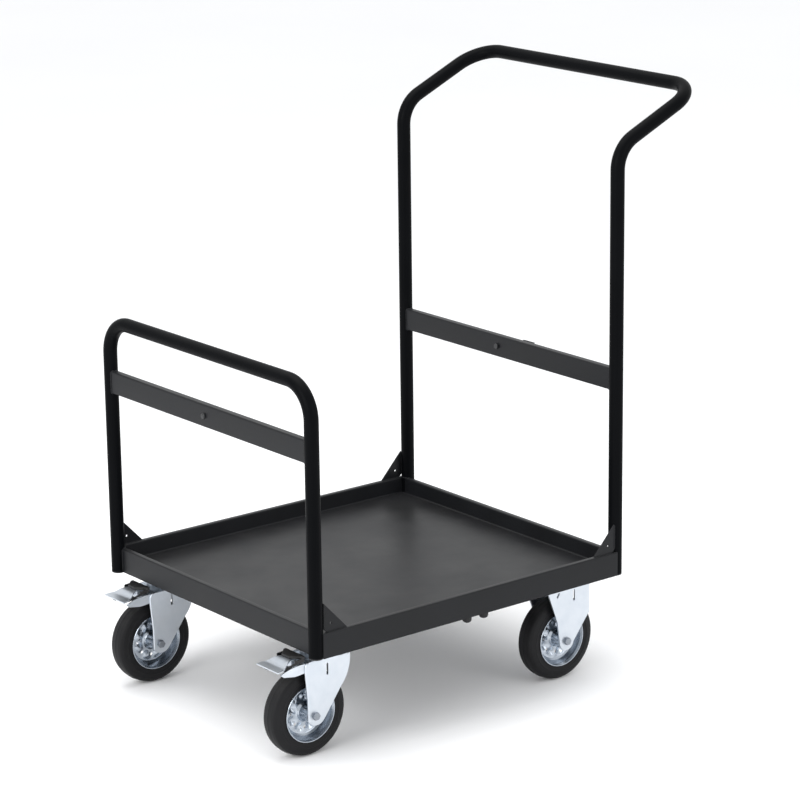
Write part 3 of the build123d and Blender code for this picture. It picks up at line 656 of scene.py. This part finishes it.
def rim_shells(centre):
    """Pressed wheel: rolled edges, conical barrel walls, a lobed disc and the hub tube.

    The disc, between radii 19 and 41, is pushed sideways between the holes by
    rise * (0.5 - 0.5 cos 8a) * sin^2 of its way across.
    """
    half_profile = [
        (29, 10.6),
        (29, 15),
        (6, 15),
        (1.4, 19),
        (1.4, 41),
        (5, 45),
        (16.5, 48.6),
        (19.2, 50.4),
        (20.6, 51.2),
        (20.6, 52.4),
        (19.6, 53),
        (18.4, 52.4),
        (16.8, 50),
    ]
    right = rounded_route(
        half_profile, [0.5, 0.8, 3.5, 2.0, 2.5, 2.0, 1.0, 0.6, 0.5, 0.5, 0.5], step=0.6
    )
    right = even_pairs(right)
    left = right[::-1] * [-1, 1]
    profile = np.concatenate([right, left])
    radii, offsets = profile[:, 1], profile[:, 0]
    angle = np.linspace(0, ROUND, 144, endpoint=False)[None, :]
    way = np.clip((radii - 19) / 22, 0, 1)[:, None]
    on_disc = (np.abs(offsets) < 6)[:, None] * (radii < 44)[:, None]
    lobes = 0.5 - 0.5 * np.cos(HOLE_COUNT * angle)
    push = LOBE_RISE * lobes * np.sin(math.pi * way) ** 2 * on_disc
    inwards = -np.sign(centre[1])
    return [turned(radii, offsets[:, None] + inwards * push, centre)]


def hole_punches(centre):
    """Round punches through the disc, between its lobes."""
    punches = []
    for k in range(HOLE_COUNT):
        turn = ROUND * k / HOLE_COUNT
        place = centre + HOLE_PITCH_RADIUS * np.array([math.cos(turn), 0, math.sin(turn)])
        stroke = np.stack([place - [0, 9, 0], place, place + [0, 9, 0]])
        punches.append(as_shell(rings_along(stroke, HOLE_RADIUS, (1, 0, 0), 24), False))
    return punches


def pierced(name, shells, punches):
    """Mesh of the shells with the punches cut out of it."""
    blank = bpy.data.objects.new("blank", lasting_mesh(name, shells))
    punch = bpy.data.objects.new("punch", lasting_mesh("punch", punches))
    for piece in (blank, punch):
        bpy.context.scene.collection.objects.link(piece)
    cut = blank.modifiers.new("holes", "BOOLEAN")
    cut.operation = "DIFFERENCE"
    cut.solver = "EXACT"
    cut.object = punch
    shaped = blank.evaluated_get(bpy.context.evaluated_depsgraph_get())
    mesh = bpy.data.meshes.new_from_object(shaped)
    for piece in (blank, punch):
        bpy.data.objects.remove(piece)
    mesh.name = name
    return mesh


for kind in ("swivel", "rigid"):
    for side_name in SIDES:
        low, high = box_mm(kind + "_tyre_" + side_name)
        centre = (low + high) / 2
        tyre_name = kind + "_tyre_" + side_name
        rim_name = kind + "_rim_" + side_name
        made_for(tyre_name, "solid_tyre_" + kind + "_" + side_name, tyre_shells(centre), 50)
        wheel_name = "pressed_wheel_" + kind + "_" + side_name
        wheel = pierced(wheel_name, rim_shells(centre), hole_punches(centre))
        wheel_piece = place_piece(wheel_name, wheel, [rim_name], crease=40)
        wheel_piece.data.materials[0] = WHEEL_ZINC
        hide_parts(rim_name)

# ---------------------------------------------------------------- pressed and turned steel
EASED = {
    "low_hoop_bar": 0.6,
    "push_handle_bar": 0.6,
    "front_cross_member": 0.5,
    "back_cross_member": 0.5,
    "middle_cross_member": 0.5,
    "plate_bolts": 0.5,
    "plate_nuts": 0.5,
    "rigid_axle_bolts": 0.6,
    "rigid_axle_nuts": 0.5,
    "handle_bar_screw": 0.5,
    "low_bar_screw": 0.3,
    "handle_hook": 2.2,
    "tube_end_plugs": 0.4,
    "underside_buffers": 0.4,
}
for side_name in SIDES:
    EASED["hoop_gusset_" + side_name] = 0.6
    EASED["handle_gusset_" + side_name] = 0.6
    EASED["swivel_plate_" + side_name] = 0.7
    EASED["kingpin_" + side_name] = 0.5
    EASED["swivel_fork_" + side_name] = 0.7
    EASED["brake_housing_" + side_name] = 0.6
    EASED["brake_pedal_" + side_name] = 0.6
    EASED["release_tab_" + side_name] = 1.0
    EASED["swivel_axle_bolt_" + side_name] = 0.6
    EASED["swivel_axle_nut_" + side_name] = 0.5
    EASED["rigid_bracket_" + side_name] = 0.7
for node, width in EASED.items():
    piece = eased(node, width)
    # axle bolts and nuts take the darker zinc copy, painted shade for the recess round their heads
    if "axle" in node:
        piece.data.materials[0] = AXLE_PAINTED_SHADE_STEEL

# ---------------------------------------------------------------- floor, light and camera
ground = bpy.data.meshes.new("studio_floor")
reach = 30.0
ground.from_pydata(
    [(-reach, -reach, 0), (reach, -reach, 0), (reach, reach, 0), (-reach, reach, 0)],
    [],
    [(0, 1, 2, 3)],
)
ground.materials.append(studio_floor())
floor_piece = bpy.data.objects.new("studio_floor", ground)
bpy.context.scene.collection.objects.link(floor_piece)

world = bpy.data.worlds.new("soft_white_room")
world.use_nodes = True
world.node_tree.nodes["Background"].inputs["Color"].default_value = (0.98, 0.99, 1.0, 1.0)
world.node_tree.nodes["Background"].inputs["Strength"].default_value = 1.02
bpy.context.scene.world = world
bpy.context.scene.view_settings.view_transform = "Standard"


def softbox(name, place, target, size, power):
    """Square area light at a place, in metres, facing a target."""
    lamp = bpy.data.lights.new(name, "AREA")
    lamp.size = size
    lamp.energy = power
    lamp_piece = bpy.data.objects.new(name, lamp)
    facing = (Vector(target) - Vector(place)).to_track_quat("-Z", "Y").to_matrix().to_4x4()
    lamp_piece.matrix_world = Matrix.Translation(place) @ facing
    bpy.context.scene.collection.objects.link(lamp_piece)


softbox("left_softbox", (-3.2, -0.6, 1.9), (-0.1, 0, LAMP_TARGET_HEIGHT), 1.8, 50)
softbox("overhead_softbox", (-0.4, 0.4, 3.2), (0, 0, LAMP_TARGET_HEIGHT), 2.4, 45)
softbox("near_softbox", (0.8, -3.4, 1.6), (0, 0, 0.4), 1.6, 18)

# the camera looks down a little, from the near side of the low hoop's end
yaw, pitch, roll = 0.66955, 0.27179, -0.012474
forward = Vector(
    (math.sin(yaw) * math.cos(pitch), math.cos(yaw) * math.cos(pitch), -math.sin(pitch))
)
level_right = Vector((math.cos(yaw), -math.sin(yaw), 0))
level_up = level_right.cross(forward)
right_axis = math.cos(roll) * level_right + math.sin(roll) * level_up
up_axis = -math.sin(roll) * level_right + math.cos(roll) * level_up
lens = bpy.data.cameras.new("viewpoint")
lens.sensor_width = 36.0
lens.lens = 136.84
viewpoint = bpy.data.objects.new("viewpoint", lens)
turned_axes = Matrix((right_axis, up_axis, -forward)).transposed().to_4x4()
viewpoint.matrix_world = Matrix.Translation((-3.3663, -4.2671, 2.0365)) @ turned_axes
bpy.context.scene.collection.objects.link(viewpoint)
bpy.context.scene.camera = viewpoint
